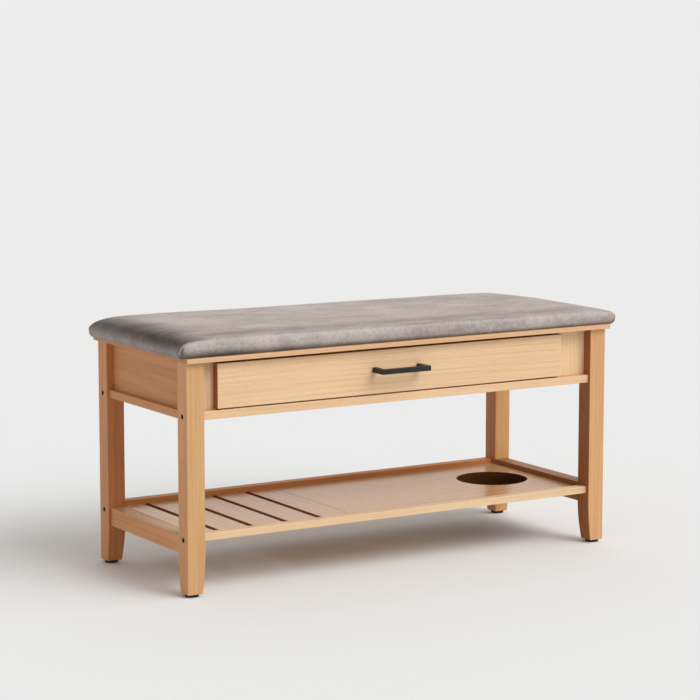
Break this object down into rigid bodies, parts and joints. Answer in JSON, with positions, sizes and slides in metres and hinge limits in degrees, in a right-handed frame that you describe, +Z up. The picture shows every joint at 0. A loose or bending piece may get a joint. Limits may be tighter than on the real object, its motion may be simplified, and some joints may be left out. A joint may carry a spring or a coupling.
{
  "type": "shoe storage bench",
  "caption": "Low oak bench with a padded leather seat, a drawer on telescopic slides under it and a slatted shoe shelf with a round well.",
  "frame": {"origin": "on the floor under the middle of the whole outline, handle included", "axes": "+X to the right along the seat, +Y to the back, +Z up"},
  "size_m": [1.0104, 0.4259, 0.496],
  "materials": {
    "oak": "clear matt lacquer",
    "dark_wood": "dark stain, matt",
    "drawer_wood": "clear matt lacquer",
    "plywood": "sanded",
    "leather": "waxed, clouded",
    "foam": "open cell",
    "black_metal": "matt",
    "steel": "zinc plated",
    "glide_plastic": "matt"
  },
  "bodies": {
    "bench": {"back_apron_rail": "oak", "back_panel": "oak", "barrel_nuts": "steel", "foot_glide_back_left": "glide_plastic", "foot_glide_back_right": "glide_plastic", "foot_glide_front_left": "glide_plastic", "foot_glide_front_right": "glide_plastic", "frame_bolts": "black_metal", "front_apron_rail": "oak", "left_apron_rail": "oak", "left_shelf_rail": "oak", "left_side_panel": "oak", "left_slide_carrier": "plywood", "left_slide_fixed_member": "steel", "left_stile": "oak", "left_top_cleat": "oak", "leg_back_left": "oak", "leg_back_right": "oak", "leg_front_left": "oak", "leg_front_right": "oak", "right_apron_rail": "oak", "right_shelf_rail": "oak", "right_side_panel": "oak", "right_slide_carrier": "plywood", "right_slide_fixed_member": "steel", "right_stile": "oak", "right_top_cleat": "oak", "seat_base": "plywood", "seat_base_screws": "steel", "seat_cover": "leather", "seat_foam": "foam", "shelf_back_rail": "oak", "shelf_front_rail": "oak", "shelf_panel": "oak", "shelf_slat_1": "oak", "shelf_slat_2": "oak", "shelf_slat_3": "oak", "shelf_slat_4": "oak", "shelf_slat_5": "oak", "top_board": "oak", "top_board_screws": "steel", "well_base": "dark_wood", "well_liner": "dark_wood"},
    "drawer": {"drawer_back": "drawer_wood", "drawer_bottom": "plywood", "drawer_front": "oak", "drawer_front_screws": "steel", "drawer_handle": "black_metal", "drawer_inner_front": "drawer_wood", "drawer_left_side": "drawer_wood", "drawer_right_side": "drawer_wood", "handle_screws": "steel", "left_slide_drawer_member": "steel", "right_slide_drawer_member": "steel"},
    "slide_middles": {"left_slide_middle_member": "steel", "right_slide_middle_member": "steel"}
  },
  "joints": [
    {"name": "drawer_slide", "type": "slide", "parent": "bench", "child": "drawer", "axis": [0, -1, 0], "range_m": [0, 0.25]},
    {"name": "slide_middle_travel", "type": "slide", "parent": "bench", "child": "slide_middles", "axis": [0, -1, 0], "range_m": [0, 0.125]}
  ],
  "couplings": [
    {"joint": "slide_middle_travel", "follows": "drawer_slide", "ratio": 0.5}
  ]
}
